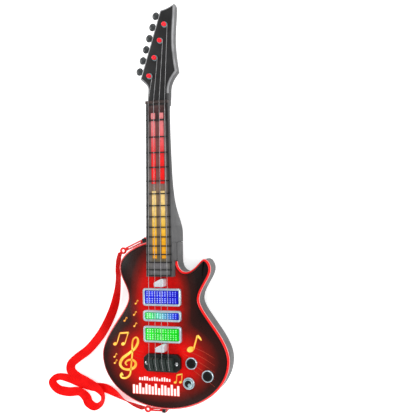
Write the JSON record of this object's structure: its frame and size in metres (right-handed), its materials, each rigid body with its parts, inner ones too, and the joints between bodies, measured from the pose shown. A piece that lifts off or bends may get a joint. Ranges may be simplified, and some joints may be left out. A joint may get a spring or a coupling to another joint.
{
  "type": "toy electric guitar",
  "caption": "Toy electric guitar with a sunburst single-cutaway body, lit fingerboard and pickup panels, push buttons, strings, turning tuner keys, battery hatch and a ribbon strap.",
  "frame": {"origin": "on the plane that the back rests on, under the middle of the guitar without its strap", "axes": "+X towards the cutaway horn, +Y along the neck to the headstock, +Z out of the face"},
  "size_m": [0.2792, 0.5611, 0.0488],
  "materials": {
    "grey_shell": "satin moulded",
    "sunburst_face": "glossy printed sunburst, bright red centre to near black edge",
    "red_trim": "gloss",
    "silver_plating": "bright silver vacuum plating",
    "button_black": "fine ribbed",
    "blue_lens": "translucent, beaded",
    "blue_green_lens": "translucent, beaded",
    "green_lens": "translucent, beaded",
    "bridge_black": "satin",
    "steel": "bright",
    "board_green": "solder mask",
    "speaker_black": "paper and plastic",
    "cell_wrap": "shrink wrap",
    "smoked_lens": "translucent smoke",
    "red_light": "translucent light guide",
    "amber_light": "translucent light guide",
    "black_gloss": "gloss",
    "nut_brown": "satin",
    "charcoal": "satin",
    "post_red": "gloss",
    "clip_red": "gloss",
    "strap_red": "woven ribbon"
  },
  "bodies": {
    "guitar": {"body_back_shell": "grey_shell", "face_plate": "sunburst_face", "rim_trim": "red_trim", "panel_frame_upper": "silver_plating", "panel_frame_middle": "silver_plating", "panel_frame_lower": "silver_plating", "panel_lens_upper": "blue_lens", "panel_lens_middle": "blue_green_lens", "panel_lens_lower": "green_lens", "bridge_base": "bridge_black", "saddle_1": "bridge_black", "saddle_2": "bridge_black", "saddle_3": "bridge_black", "saddle_4": "bridge_black", "bridge_screw_left": "steel", "bridge_screw_right": "steel", "string_guide_upper": "silver_plating", "string_guide_lower": "silver_plating", "button_ring_a": "silver_plating", "button_ring_b": "silver_plating", "button_ring_c": "silver_plating", "main_board": "board_green", "speaker": "speaker_black", "battery_box": "grey_shell", "battery_cell_1": "cell_wrap", "battery_cell_2": "cell_wrap", "battery_cell_3": "cell_wrap", "neck_shell": "grey_shell", "fingerboard_lens": "smoked_lens", "neck_light_board": "board_green", "light_bars_red": "red_light", "light_bars_amber": "amber_light", "fret_ladder": "black_gloss", "nut": "nut_brown", "headstock_plate": "charcoal", "string_post_1": "post_red", "string_post_2": "post_red", "string_post_3": "post_red", "string_post_4": "post_red", "string_1": "steel", "string_2": "steel", "string_3": "steel", "string_4": "steel", "strap_eyelet_top": "charcoal", "strap_eyelet_bottom": "charcoal", "strap_clip_top": "clip_red", "strap_clip_bottom": "clip_red", "strap": "strap_red"},
    "button_a": {"button_cap_a": "button_black"},
    "button_b": {"button_cap_b": "button_black"},
    "button_c": {"button_cap_c": "silver_plating"},
    "tuner_1_key": {"tuner_1": "charcoal"},
    "tuner_2_key": {"tuner_2": "charcoal"},
    "tuner_3_key": {"tuner_3": "charcoal"},
    "tuner_4_key": {"tuner_4": "charcoal"},
    "tuner_5_key": {"tuner_5": "charcoal"},
    "tuner_6_key": {"tuner_6": "charcoal"},
    "battery_hatch": {"battery_door": "grey_shell", "door_screw": "steel"}
  },
  "joints": [
    {"name": "button_a_press", "type": "slide", "parent": "guitar", "child": "button_a", "axis": [0, 0, -1], "range_m": [0, 0.0015], "stiffness_N_per_m": 300},
    {"name": "button_b_press", "type": "slide", "parent": "guitar", "child": "button_b", "axis": [0, 0, -1], "range_m": [0, 0.0015], "stiffness_N_per_m": 300},
    {"name": "button_c_press", "type": "slide", "parent": "guitar", "child": "button_c", "axis": [0, 0, -1], "range_m": [0, 0.0015], "stiffness_N_per_m": 300},
    {"name": "tuner_1_turn", "type": "hinge", "parent": "guitar", "child": "tuner_1_key", "pos_m": [-0.02174, 0.18677, 0.031], "axis": [-0.9486, 0.3165, 0], "continuous": true},
    {"name": "tuner_2_turn", "type": "hinge", "parent": "guitar", "child": "tuner_2_key", "pos_m": [-0.0168, 0.20157, 0.031], "axis": [-0.9486, 0.3165, 0], "continuous": true},
    {"name": "tuner_3_turn", "type": "hinge", "parent": "guitar", "child": "tuner_3_key", "pos_m": [-0.01186, 0.21637, 0.031], "axis": [-0.9486, 0.3165, 0], "continuous": true},
    {"name": "tuner_4_turn", "type": "hinge", "parent": "guitar", "child": "tuner_4_key", "pos_m": [-0.00693, 0.23116, 0.031], "axis": [-0.9486, 0.3165, 0], "continuous": true},
    {"name": "tuner_5_turn", "type": "hinge", "parent": "guitar", "child": "tuner_5_key", "pos_m": [-0.00199, 0.24596, 0.031], "axis": [-0.9486, 0.3165, 0], "continuous": true},
    {"name": "tuner_6_turn", "type": "hinge", "parent": "guitar", "child": "tuner_6_key", "pos_m": [0.00295, 0.26076, 0.031], "axis": [-0.9486, 0.3165, 0], "continuous": true},
    {"name": "battery_hatch_lift_off", "type": "slide", "parent": "guitar", "child": "battery_hatch", "axis": [0, 0, -1], "range_m": [0, 0.02]}
  ]
}
